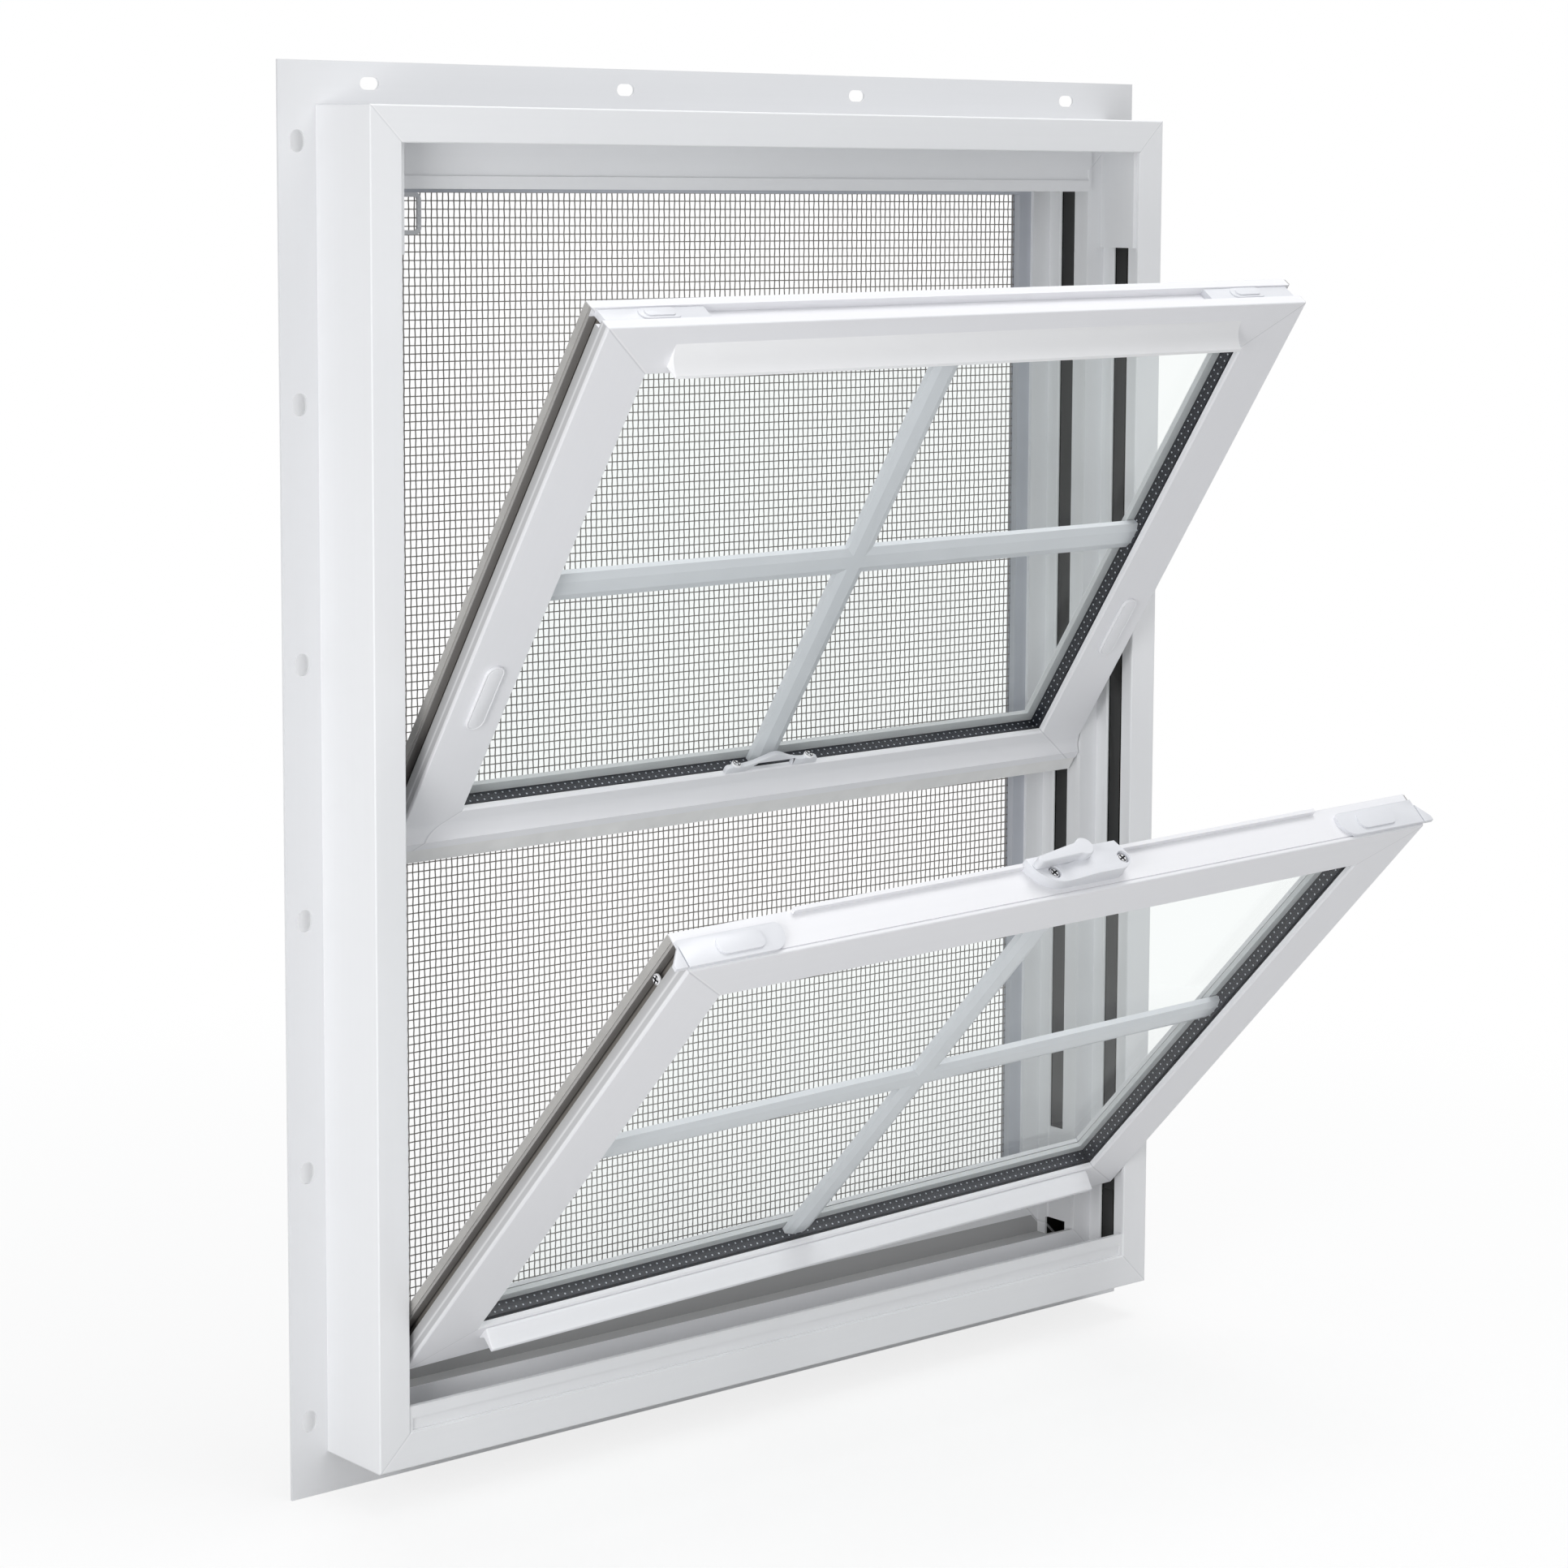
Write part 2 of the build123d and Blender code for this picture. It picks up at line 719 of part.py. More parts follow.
# Cam lock on the top rail of the lower sash: a lever like a drop on a base that swoops up
lever_seat = facing_up((0, 0, lower_height + lock_low_height), lower_hang)
with BuildPart() as lock_lever:
    with BuildSketch(lever_seat) as drop:
        with Locations(lever_knob_at):
            Circle(lever_neck_radius)
        with Locations(lever_tip_at):
            Circle(lever_tip_radius)
        make_hull()
        with Locations(lever_knob_at):
            Circle(lever_knob_radius)
        waist = drop.vertices().filter_by(lambda v: lever_tip_at[0] / 2 < v.X < lever_knob_at[0])
        fillet(waist, lever_blend_radius)
    extrude(amount=lever_height)
    lever_top = lock_lever.faces().sort_by(Axis(lever_seat.origin, lever_seat.z_dir))[-1]
    fillet(lever_top.edges(), lever_edge_radius)
finish(lock_lever, "lock_lever")

with BuildPart() as lock_base:
    with BuildSketch(facing_up((0, 0, lower_height), lower_hang)):
        with BuildLine():
            front = Line((lock_sweep_from, lock_front), (lock_round_from, lock_front))
            corner = TangentArc(front @ 1, (lock_half_length, lock_round_to), tangent=(1, 0))
            end = Line(corner @ 1, (lock_half_length - lock_taper, lock_back))
            back = Line(end @ 1, (-lock_half_length, lock_back))
            TangentArc(front @ 0, back @ 1, tangent=(-1, 0))
        make_face()
    extrude(amount=lock_height)
    with BuildSketch(facing_room((0, lock_back, lower_height), lower_hang)):
        with BuildLine():
            low = Line((-lock_half_length, lock_low_height), (lock_swoop_from, lock_low_height))
            swoop = Spline(low @ 1, (lock_swoop_to, lock_height), tangents=[(1, 0), (1, 0)])
            Polyline(swoop @ 1, (-lock_half_length, lock_height), low @ 0)
        make_face()
    extrude(amount=lock_back, mode=Mode.SUBTRACT)
    with BuildSketch(facing_up((0, 0, lower_height + lock_pocket_floor), lower_hang)):
        with Locations(*((place, lock_screw_depth) for place in lock_screw_at)):
            Circle(lock_pocket_radius)
    extrude(amount=lock_height, mode=Mode.SUBTRACT)
    with Locations(lower_hang * ridge_seat):
        Box(lower_width, ridge_thickness, ridge_rise, mode=Mode.SUBTRACT)
    add(lock_lever.part, mode=Mode.SUBTRACT)
finish(lock_base, "lock_base")

# Keeper on the glass side of the upper sash's bottom rail
keeper_seat = (0, glass_stop, upper_bottom_face)
with BuildPart() as keeper:
    with BuildSketch(facing_room(keeper_seat, upper_hang)) as outline:
        with Locations((0, keeper_end_height / 2)):
            Rectangle(keeper_length, keeper_end_height)
        fillet(outline.vertices().group_by(Axis.Y)[-1], keeper_end_radius)
        for boss_side in (-1, 1):
            with Locations((boss_side * keeper_boss_at, keeper_end_height)):
                Rectangle(keeper_boss_width, 2 * keeper_boss_rise)
        with BuildLine():
            half_arch = keeper_arch_length / 2
            foot = Line((-half_arch, keeper_end_height), (half_arch, keeper_end_height))
            Spline(foot @ 0, (0, keeper_height), foot @ 1, tangents=[(1, 0), (1, 0)])
        make_face()
        with BuildLine():
            Polyline(
                (keeper_opening_from, 0),
                (keeper_opening_from + keeper_opening_slope, keeper_opening_height),
                (keeper_opening_to, keeper_opening_height),
                (keeper_opening_to, 0),
                close=True,
            )
        make_face(mode=Mode.SUBTRACT)
    extrude(amount=keeper_width)
finish(keeper, "keeper")

# Tilt latches: raised plates on the lower sash, sunk ones in the upper sash's top groove
for outward, side in ((-1, "left"), (1, "right")):
    end = outward * lower_width / 2
    with BuildPart() as tilt_latch:
        with BuildSketch(facing_up((end, latch_front, lower_height), lower_hang)) as plate:
            with Locations((-outward * latch_length / 2, latch_width / 2)):
                Rectangle(latch_length, latch_width)
            inner_side = 0 if outward > 0 else -1
            fillet(plate.vertices().group_by(Axis.X)[inner_side].sort_by(Axis.Y)[0], latch_front_round)
            fillet(plate.vertices().group_by(Axis.Y)[-1].sort_by(Axis.X)[inner_side], latch_back_round)
            with BuildLine():
                Polyline(
                    (0, 0),
                    (outward * latch_nose, 0),
                    (outward * latch_nose, latch_nose_blunt),
                    (0, latch_nose_width),
                    close=True,
                )
            make_face()
        extrude(amount=latch_height)
        thumb_middle = end - outward * (thumb_from_end + thumb_length / 2)
        latch_top = lower_height + latch_height
        with BuildSketch(facing_up((thumb_middle, latch_front + latch_width / 2, latch_top), lower_hang)):
            RectangleRounded(thumb_length, thumb_width, thumb_round)
        extrude(amount=thumb_height)
        with Locations(lower_hang * Pos(end, 0, latch_top)):
            Box(latch_gap, 4 * latch_width, latch_height, mode=Mode.SUBTRACT)
    finish(tilt_latch, f"lower_{side}_tilt_latch")

    with BuildPart() as sunk_latch:
        middle = outward * (upper_width / 2 - upper_latch_from_end - upper_latch_length / 2)
        groove_bottom = upper_height - groove_depth
        with BuildSketch(facing_up((middle, top_groove_centre, groove_bottom), upper_hang)):
            Rectangle(upper_latch_length, top_groove_width)
        extrude(amount=groove_depth - upper_latch_sink)
        button_middle = outward * (upper_width / 2 - button_from_end)
        button_seat = (button_middle, top_groove_centre, upper_height - upper_latch_sink)
        for length, width, height in (
            (ring_length, ring_width, ring_height),
            (button_length, button_width, button_height),
        ):
            with BuildSketch(facing_up(button_seat, upper_hang)):
                SlotOverall(length, width)
            extrude(amount=height)
    finish(sunk_latch, f"upper_{side}_tilt_latch")

# Pull lip on the upper sash's top rail: a cove that curls out to a thin edge
lip_length = upper_width - 2 * upper_stile_face - 2 * lip_inset
lip_top = upper_height - upper_top_face + lip_rise + lip_height
with BuildPart() as pull_lip:
    with BuildSketch(run_plane(Vector(-lip_length / 2, 0, lip_top), down_dir, upper_hang)):
        with BuildLine():
            cove = TangentArc((0, 0), (lip_height - lip_edge, -lip_projection), tangent=(1, 0))
            Polyline(cove @ 1, (lip_height, -lip_projection), (lip_height - sash_bevel, 0), (0, 0))
        make_face()
    extrude(amount=lip_length)
finish(pull_lip, "upper_pull_lip")

# Lift rail on the lower sash's bottom rail: an ogee shelf with a blunt nose
lift_length = lower_width - 2 * lower_stile_face - 2 * lift_inset
lift_top = lower_bottom_face - 2 * sash_bevel
with BuildPart() as lift_rail:
    with BuildSketch(run_plane(Vector(-lift_length / 2, 0, lift_top), down_dir, lower_hang)):
        with BuildLine():
            ogee = Spline((0, 0), (lift_drop, -lift_projection), tangents=[(0, -1), (0, -1)])
            Polyline(
                ogee @ 1,
                (lift_drop + lift_nose, -lift_projection),
                (lift_drop + lift_nose, -lift_web),
                (lift_height, 0),
                (0, 0),
            )
        make_face()
    extrude(amount=lift_length)
finish(lift_rail, "lower_lift_rail")

# Vent stops set in the upper sash's stiles
for outward, side in ((-1, "left"), (1, "right")):
    stop_middle = Vector(outward * (upper_width - upper_stile_face) / 2, 0, vent_stop_from_bottom)
    with BuildPart() as vent_stop:
        with BuildSketch(facing_room(stop_middle, upper_hang)):
            SlotOverall(vent_stop_length, vent_stop_width, rotation=90)
        extrude(amount=vent_stop_height)
    finish(vent_stop, f"{side}_vent_stop")
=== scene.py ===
import math
import bpy
from mathutils import Euler, Matrix, Vector


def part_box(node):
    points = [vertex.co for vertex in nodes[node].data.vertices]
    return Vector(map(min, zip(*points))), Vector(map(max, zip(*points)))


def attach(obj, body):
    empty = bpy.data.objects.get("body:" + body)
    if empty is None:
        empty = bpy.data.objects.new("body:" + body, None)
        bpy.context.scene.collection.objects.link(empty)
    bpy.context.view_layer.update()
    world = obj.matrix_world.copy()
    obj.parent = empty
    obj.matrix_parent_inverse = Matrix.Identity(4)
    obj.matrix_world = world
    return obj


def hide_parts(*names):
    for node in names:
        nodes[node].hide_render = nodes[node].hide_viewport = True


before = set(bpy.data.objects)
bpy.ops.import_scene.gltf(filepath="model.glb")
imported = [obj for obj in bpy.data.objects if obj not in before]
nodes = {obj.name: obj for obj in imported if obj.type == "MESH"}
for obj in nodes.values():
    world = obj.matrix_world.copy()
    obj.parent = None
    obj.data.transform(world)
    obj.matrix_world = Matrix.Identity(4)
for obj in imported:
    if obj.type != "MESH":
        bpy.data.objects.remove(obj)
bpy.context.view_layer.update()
print("window frame loaded,", len(nodes), "CAD nodes")

# The window as a whole, in metres: X right, Y outdoors, Z up
window = {
    "width": 0.597,
    "height": 0.762,
    "middle": 0.393,     # height of the frame's middle
    "floor": -0.012,     # underside of the bottom fin
}

# How each sash hangs: where its pivots are, how far it is tilted in and out of level
pivotHeight = 0.008      # of the pivot above the sash's lower edge
sashes = {
    "lower": {"pivot": (0.0017, -0.037, 0.0875), "pivotDepth": 0.014, "tilt": 44.7, "rack": 1.65,
              "width": 0.552, "height": 0.388, "topFace": 0.0315, "stileFace": 0.037, "bottomFace": 0.031},
    "upper": {"pivot": (0.003, 0.0003, 0.3726), "pivotDepth": 0.0165, "tilt": 34.5, "rack": 0.58,
              "width": 0.522, "height": 0.370, "topFace": 0.032, "stileFace": 0.0375, "bottomFace": 0.0285},
}
for sash in sashes.values():
    sash["turn"] = Euler((math.radians(sash["tilt"]), math.radians(-sash["rack"]), 0))
    pivotInSash = Vector((0, sash["pivotDepth"], pivotHeight))
    sash["place"] = Vector(sash["pivot"]) - sash["turn"].to_matrix() @ pivotInSash
    sash["matrix"] = Matrix.Translation(sash["place"]) @ sash["turn"].to_matrix().to_4x4()


class Amount:
    # A value that changes over a surface; plain numbers and other amounts combine with it
    def __init__(self, finish, socket):
        self.finish = finish
        self.socket = socket

    def __add__(self, other):
        return self.finish.maths("ADD", self, other)

    def __radd__(self, other):
        return self.finish.maths("ADD", other, self)

    def __sub__(self, other):
        return self.finish.maths("SUBTRACT", self, other)

    def __rsub__(self, other):
        return self.finish.maths("SUBTRACT", other, self)

    def __mul__(self, other):
        return self.finish.maths("MULTIPLY", self, other)

    def __truediv__(self, other):
        return self.finish.maths("DIVIDE", self, other)


class Finish:
    # The shader nodes of one material, or of the world
    def __init__(self, owner):
        owner.use_nodes = True
        self.owner = owner
        self.tree = owner.node_tree
        self.tree.nodes.clear()

    def node(self, kind, settings, sockets, output=0):
        made = self.tree.nodes.new(kind)
        for key, value in settings.items():
            if key == "stops":
                ramp = made.color_ramp
                while len(ramp.elements) < len(value):
                    ramp.elements.new(0.5)
                for element, (place, colour) in zip(ramp.elements, value):
                    element.position = place
                    element.color = colour
            else:
                setattr(made, key, value)
        for key, value in sockets.items():
            if isinstance(value, Amount):
                self.tree.links.new(value.socket, made.inputs[key])
            else:
                made.inputs[key].default_value = value
        return Amount(self, made.outputs[output])

    def maths(self, operation, first, second=0.0):
        return self.node("ShaderNodeMath", {"operation": operation}, {0: first, 1: second})

    def size(self, amount):
        return self.maths("ABSOLUTE", amount)

    def greater(self, first, second):
        return self.maths("MAXIMUM", first, second)

    def above(self, amount, limit):
        return self.maths("GREATER_THAN", amount, limit)

    def below(self, amount, limit):
        return self.maths("LESS_THAN", amount, limit)

    def within(self, distance, width, soft):
        # 1 where the distance is below the width, falling to 0 over the soft edge
        return self.node("ShaderNodeMapRange", {"interpolation_type": "SMOOTHSTEP"},
                         {"Value": distance, "From Min": width, "From Max": width + soft,
                          "To Min": 1.0, "To Max": 0.0})

    def place(self, origin=(0, 0, 0), turn=(0, 0, 0)):
        raw = self.node("ShaderNodeTexCoord", {}, {}, "Object")
        return self.node("ShaderNodeMapping", {"vector_type": "TEXTURE"},
                         {"Vector": raw, "Location": origin, "Rotation": turn})

    def parts(self, place):
        split = self.tree.nodes.new("ShaderNodeSeparateXYZ")
        self.tree.links.new(place.socket, split.inputs[0])
        return [Amount(self, split.outputs[i]) for i in range(3)]

    def stretched(self, place, factors):
        return self.node("ShaderNodeVectorMath", {"operation": "MULTIPLY"}, {0: place, 1: factors})

    def noise(self, place, scale, detail=2.0, roughness=0.5):
        return self.node("ShaderNodeTexNoise", {},
                         {"Vector": place, "Scale": scale, "Detail": detail, "Roughness": roughness})

    def tint(self, factor, first, second):
        return self.node("ShaderNodeMix", {"data_type": "RGBA"}, {0: factor, 6: first, 7: second}, 2)

    def bump(self, height, strength, distance):
        return self.node("ShaderNodeBump", {},
                         {"Height": height, "Strength": strength, "Distance": distance})

    def plastic(self, **sockets):
        shader = self.node("ShaderNodeBsdfPrincipled", {},
                           {key.replace("_", " "): value for key, value in sockets.items()})
        return self.done(shader)

    def done(self, shader, kind="ShaderNodeOutputMaterial"):
        output = self.tree.nodes.new(kind)
        self.tree.links.new(shader.socket, output.inputs["Surface"])
        return self.owner


def newFinish(name):
    return Finish(bpy.data.materials.new(name))


def paint(material, *names):
    for name in names:
        for materialSlot in nodes[name].material_slots:
            materialSlot.material = material


vinyl = {
    "light": (0.895, 0.90, 0.915, 1),
    "dark": (0.855, 0.86, 0.875, 1),
    "weld": (0.70, 0.71, 0.73, 1),
    "roughness": 0.36,
}
extrusion = {
    "across": 60.0,          # how much finer the die lines are across the bar
    "along": 0.8,
    "lineScale": 8.0,
    "patchScale": 7.0,
    "grain": 900.0,
    "weldWidth": 0.00025,
    "weldSoft": 0.0004,
    "paleLine": 0.0011,       # the pale line beside the weld, from its middle
    "paleLineWidth": 0.0003,
    "pale": (0.96, 0.96, 0.97, 1),
    "weldShare": 0.6,        # how much of its own colour the weld shows, and the line beside it
    "paleLineShare": 0.5,
    "bump": 0.25,
    "bumpDepth": 0.0002,
}


def extruded(name, along, weldOffset, origin=(0, 0, 0), turn=(0, 0, 0), colours=vinyl, paintedShading=None):
    # Extruded vinyl: faint die lines along the bar, a fine grain, and the weld at its corners
    made = newFinish(name)
    place = made.place(origin, turn)
    stretch = [extrusion["across"]] * 3
    stretch["XYZ".index(along)] = extrusion["along"]
    dieLines = made.noise(made.stretched(place, stretch), extrusion["lineScale"], 3.0, 0.6)
    patches = made.noise(place, extrusion["patchScale"])
    grain = made.noise(place, extrusion["grain"], 2.0, 0.6)
    fromSeam = weldOffset(made, place)
    weld = made.within(made.size(fromSeam), extrusion["weldWidth"], extrusion["weldSoft"])
    beside = made.within(made.size(fromSeam - extrusion["paleLine"]), extrusion["paleLineWidth"],
                         extrusion["weldSoft"])
    base = made.tint(dieLines * 0.5 + patches * 0.5, colours["dark"], colours["light"])
    # Painted shade and light, where a caller passes it in
    if paintedShading:
        base = paintedShading(made, place, base)
    base = made.tint(weld * extrusion["weldShare"], base, colours["weld"])
    base = made.tint(beside * extrusion["paleLineShare"], base, extrusion["pale"])
    roughness = colours["roughness"] + patches * 0.08 + weld * 0.2
    height = grain * 0.12 + dieLines * 0.5 - weld * 3.0
    return made.plastic(Base_Color=base, Roughness=roughness,
                        Normal=made.bump(height, extrusion["bump"], extrusion["bumpDepth"]))


def frameWeld(made, place):
    x, y, z = made.parts(place)
    fromSide = window["width"] / 2 - made.size(x)
    fromEnd = window["height"] / 2 - made.size(z - window["middle"])
    return fromSide - fromEnd


# Painted shade in the balance channels: where it lies and its near-black colour
channels = {
    "inner": (-0.037, 0.0182),     # depth of the slot's middle, how far the dark reaches from the outer side
    "outer": (0.0003, 0.0307),
    "halfWidth": 0.0099,
    "soft": 0.0003,
    "floor": 0.0035,
    "shade": (0.008, 0.0075, 0.006, 1),
}


def channelPaintedShade(made, place, base):
    # Painted shade: the balance channels behind the slots are painted near black, for the shadow deep inside
    # them
    x, y, z = made.parts(place)
    fromSide = window["width"] / 2 - made.size(x)
    within = []
    for middle, reach in (channels["inner"], channels["outer"]):
        across = made.within(made.size(y - middle), channels["halfWidth"], channels["soft"])
        within.append(across * made.below(fromSide, reach))
    inside = made.greater(*within) * made.above(fromSide, channels["floor"])
    return made.tint(inside, base, channels["shade"])


paint(extruded("jamb vinyl", "Z", frameWeld, paintedShading=channelPaintedShade), "frame_left_jamb", "frame_right_jamb")

# Painted shade in the sill's inner track under the lower sash
track = {
    "front": -0.0195,      # the sill's inner track, from its room side outwards
    "back": 0.0178,
    "top": 0.048,
    "shade": (0.40, 0.40, 0.40, 1),
    "share": 0.9,
}


def trackPaintedShade(made, place, base):
    # Painted shade: the track under the lower sash is painted darker, for the sash's shadow over it
    x, y, z = made.parts(place)
    inside = made.above(y, track["front"]) * made.below(y, track["back"]) * made.below(z, track["top"])
    return made.tint(inside * track["share"], base, track["shade"])


paint(extruded("head vinyl", "X", frameWeld), "frame_head")
paint(extruded("sill vinyl", "X", frameWeld, paintedShading=trackPaintedShade), "frame_sill")

plainLines = {"across": 70.0, "along": 1.0, "lineScale": 7.0, "patchScale": 9.0}


def plainBar(name, along, colours):
    # Snap-in pieces and the nailing fin, without a weld
    made = newFinish(name)
    place = made.place()
    stretch = [plainLines["across"]] * 3
    stretch["XYZ".index(along)] = plainLines["along"]
    dieLines = made.noise(made.stretched(place, stretch), plainLines["lineScale"], 3.0, 0.6)
    patches = made.noise(place, plainLines["patchScale"])
    base = made.tint(dieLines * 0.4 + patches * 0.6, colours["dark"], colours["light"])
    height = dieLines * 0.5 + made.noise(place, extrusion["grain"]) * 0.15
    return made.plastic(Base_Color=base, Roughness=colours["roughness"] + patches * 0.08,
                        Normal=made.bump(height, extrusion["bump"], extrusion["bumpDepth"]))


insertVinyl = {"light": (0.88, 0.885, 0.90, 1), "dark": (0.84, 0.845, 0.86, 1), "roughness": 0.32}
# Painted shade: the fins' vinyl is darker than the frame's, standing in for the shade on the fins
finVinylPaintedShade = {"light": (0.81, 0.815, 0.83, 1), "dark": (0.77, 0.775, 0.79, 1), "roughness": 0.42}
paint(plainBar("head stop and dam vinyl", "X", insertVinyl), "head_stop", "sill_dam")
paint(plainBar("jamb cover vinyl", "Z", insertVinyl), "jamb_cover_left", "jamb_cover_right")
paint(plainBar("upright fin vinyl", "Z", finVinylPaintedShade), "nail_fin_left", "nail_fin_right")
paint(plainBar("level fin vinyl", "X", finVinylPaintedShade), "nail_fin_top", "nail_fin_bottom")
print("frame, insert and fin vinyl made")


moulding = {
    "flow": 55.0,
    "flowGloss": 0.06,
    "grain": 1400.0,
    "bump": 0.1,
    "bumpDepth": 0.0001,
}


def mouldedFinish(name, light, dark, roughness):
    # Moulded or painted pieces: a faint flow of the melt and a very fine grain
    made = newFinish(name)
    place = made.place()
    flow = made.noise(place, moulding["flow"])
    grain = made.noise(place, moulding["grain"], 1.0)
    return made.plastic(Base_Color=made.tint(flow, dark, light),
                        Roughness=roughness + flow * moulding["flowGloss"],
                        Normal=made.bump(grain, moulding["bump"], moulding["bumpDepth"]))


sashVinyl = {
    "light": (0.90, 0.90, 0.925, 1),
    "dark": (0.86, 0.86, 0.885, 1),
    "weld": (0.64, 0.64, 0.67, 1),
    "roughness": 0.34,
}


def sashWeld(sash):
    def offset(made, place):
        x, y, z = made.parts(place)
        fromSide = sash["width"] / 2 - made.size(x)
        upper = made.above(z, sash["height"] / 2)
        fromTop = sash["height"] - z
        top = fromSide * (sash["topFace"] / sash["stileFace"]) - fromTop
        bottom = fromSide * (sash["bottomFace"] / sash["stileFace"]) - z
        return top * upper + bottom * (1 - upper)
    return offset


# Painted shade and light on the sashes' outer edges: in bands, in the side groove and along a dark line
stileSide = {
    "grooveMiddle": 0.014,
    "grooveHalf": 0.0032,
    "grooveDepth": 0.0056,
    # Painted shade in the groove, and a painted shadow line at its outdoor edge
    "grooveShade": (0.165, 0.152, 0.138, 1),
    "line": 0.0166,        # the thin dark line at the groove's outdoor edge
    "lineHalf": 0.0004,
    "paintedShadowLine": (0.02, 0.018, 0.016, 1),
    "lineShare": 0.9,
    "soft": 0.0002,
    "skin": 0.0004,        # what lies this near the outer side is its edge face
    "thickness": 0.024,
    # Painted shade and light: bands of the outer edge from the room side outwards, greyer where it lies in
    # shade and paler on its lit ridges
    "paintedShadeBands": [(0.0, (0.80, 0.80, 0.82, 1)), (0.07, (0.80, 0.80, 0.82, 1)), (0.10, (0.50, 0.50, 0.51, 1)),
              (0.19, (0.50, 0.50, 0.51, 1)), (0.23, (0.72, 0.72, 0.73, 1)), (0.28, (0.46, 0.46, 0.47, 1)),
              (0.44, (0.40, 0.40, 0.40, 1)), (0.74, (0.38, 0.37, 0.36, 1)), (0.92, (0.42, 0.41, 0.40, 1)),
              (0.96, (0.70, 0.70, 0.71, 1))],
}


def stilePaintedShading(sash):
    def paintedShading(made, place, base):
        x, y, z = made.parts(place)
        fromSide = sash["width"] / 2 - made.size(x)
        # Painted shade and light in bands across the outer edge face
        paintedShadeBands = made.node("ShaderNodeValToRGB", {"stops": stileSide["paintedShadeBands"]},
                          {"Fac": y / stileSide["thickness"]})
        base = made.tint(made.below(fromSide, stileSide["skin"]), base, paintedShadeBands)
        # Painted shade in the side groove
        groove = made.within(made.size(y - stileSide["grooveMiddle"]), stileSide["grooveHalf"],
                             stileSide["soft"])
        nearSide = made.below(fromSide, stileSide["grooveDepth"])
        inGroove = groove * made.above(fromSide, stileSide["skin"]) * nearSide
        base = made.tint(inGroove, base, stileSide["grooveShade"])
        # Painted shadow line at the groove's outdoor edge
        line = made.within(made.size(y - stileSide["line"]), stileSide["lineHalf"], stileSide["soft"])
        return made.tint(line * nearSide * stileSide["lineShare"], base, stileSide["paintedShadowLine"])
    return paintedShading


for name, sash in sashes.items():
    upright = extruded(name + " stile vinyl", "Z", sashWeld(sash), sash["place"], sash["turn"],
                       sashVinyl, stilePaintedShading(sash))
    level = extruded(name + " rail vinyl", "X", sashWeld(sash), sash["place"], sash["turn"], sashVinyl)
    paint(upright, name + "_left_stile", name + "_right_stile")
    paint(level, name + "_top_rail", name + "_bottom_rail")
    sash["railVinyl"] = level
# Painted light: the pull lip's vinyl is paler than the sash's, for the top light on its cove
lipVinylPaintedLight = mouldedFinish("pull lip vinyl painted light", (0.975, 0.975, 0.985, 1), (0.95, 0.95, 0.96, 1), 0.3)
paint(lipVinylPaintedLight, "upper_pull_lip")
paint(sashes["upper"]["railVinyl"], "upper_interlock")
paint(sashes["lower"]["railVinyl"], "lower_lift_rail")
print("sash vinyl made")


white = (1, 1, 1, 1)
glass = {
    "tint": (0.987, 0.994, 0.992, 1),
    "bending": 1.45,
    "mirror": 0.3,         # share of a real pane's mirroring
    "roughness": 0.02,
}


def glassFinish():
    # Clear glass lets lamps through; its room-facing and outdoor skins mirror a little
    made = newFinish("clear glass")
    fresnel = made.node("ShaderNodeFresnel", {}, {"IOR": glass["bending"]})
    inward = made.node("ShaderNodeNewGeometry", {}, {}, "Backfacing")
    clear = made.node("ShaderNodeBsdfTransparent", {}, {"Color": glass["tint"]})
    gloss = made.node("ShaderNodeBsdfGlossy", {}, {"Color": white, "Roughness": glass["roughness"]})
    mirror = fresnel * (1 - inward) * glass["mirror"]
    return made.done(made.node("ShaderNodeMixShader", {}, {0: mirror, 1: clear, 2: gloss}))


paint(glassFinish(), *(name for name in nodes if name.endswith("_pane")))

spacer = {
    "colour": (0.008, 0.010, 0.018, 1),
    "roughness": 0.42,
    "dot": (0.55, 0.58, 0.63, 1),
    "pitch": 0.0049,
    "row": 0.0019,        # the two rows of holes, either side of the middle
    "middle": 0.0104,     # depth in the sash of the middle between the rows
    "radius": 0.00045,
    "soft": 0.0002,
    "facing": 0.7,        # a face counts as level or upright past this share of its normal
    "grain": 700.0,
    "bump": 0.1,
    "bumpDepth": 0.0002,
}


def spacerFinish(name, sash):
    # Two rows of pinholes run round the face that looks into the sealed gap
    made = newFinish(name)
    place = made.place(sash["place"], sash["turn"])
    x, y, z = made.parts(place)
    rowGap = made.size(made.size(y - spacer["middle"]) - spacer["row"])
    dots = []
    for run in (x, z):
        step = made.size(made.maths("FRACT", run / spacer["pitch"]) - 0.5) * spacer["pitch"]
        distance = made.maths("SQRT", step * step + rowGap * rowGap)
        dots.append(made.within(distance, spacer["radius"], spacer["soft"]))
    normal = made.node("ShaderNodeNewGeometry", {}, {}, "Normal")
    turned = made.node("ShaderNodeMapping", {"vector_type": "TEXTURE"},
                       {"Vector": normal, "Rotation": sash["turn"]})
    acrossNormal, throughNormal, upNormal = made.parts(turned)
    onLevel = made.above(made.size(upNormal), spacer["facing"])
    onUpright = made.above(made.size(acrossNormal), spacer["facing"])
    dot = dots[0] * onLevel + dots[1] * onUpright
    base = made.tint(dot, spacer["colour"], spacer["dot"])
    return made.plastic(Base_Color=base, Roughness=spacer["roughness"] - dot * 0.1,
                        Normal=made.bump(made.noise(place, spacer["grain"]), spacer["bump"],
                                         spacer["bumpDepth"]))


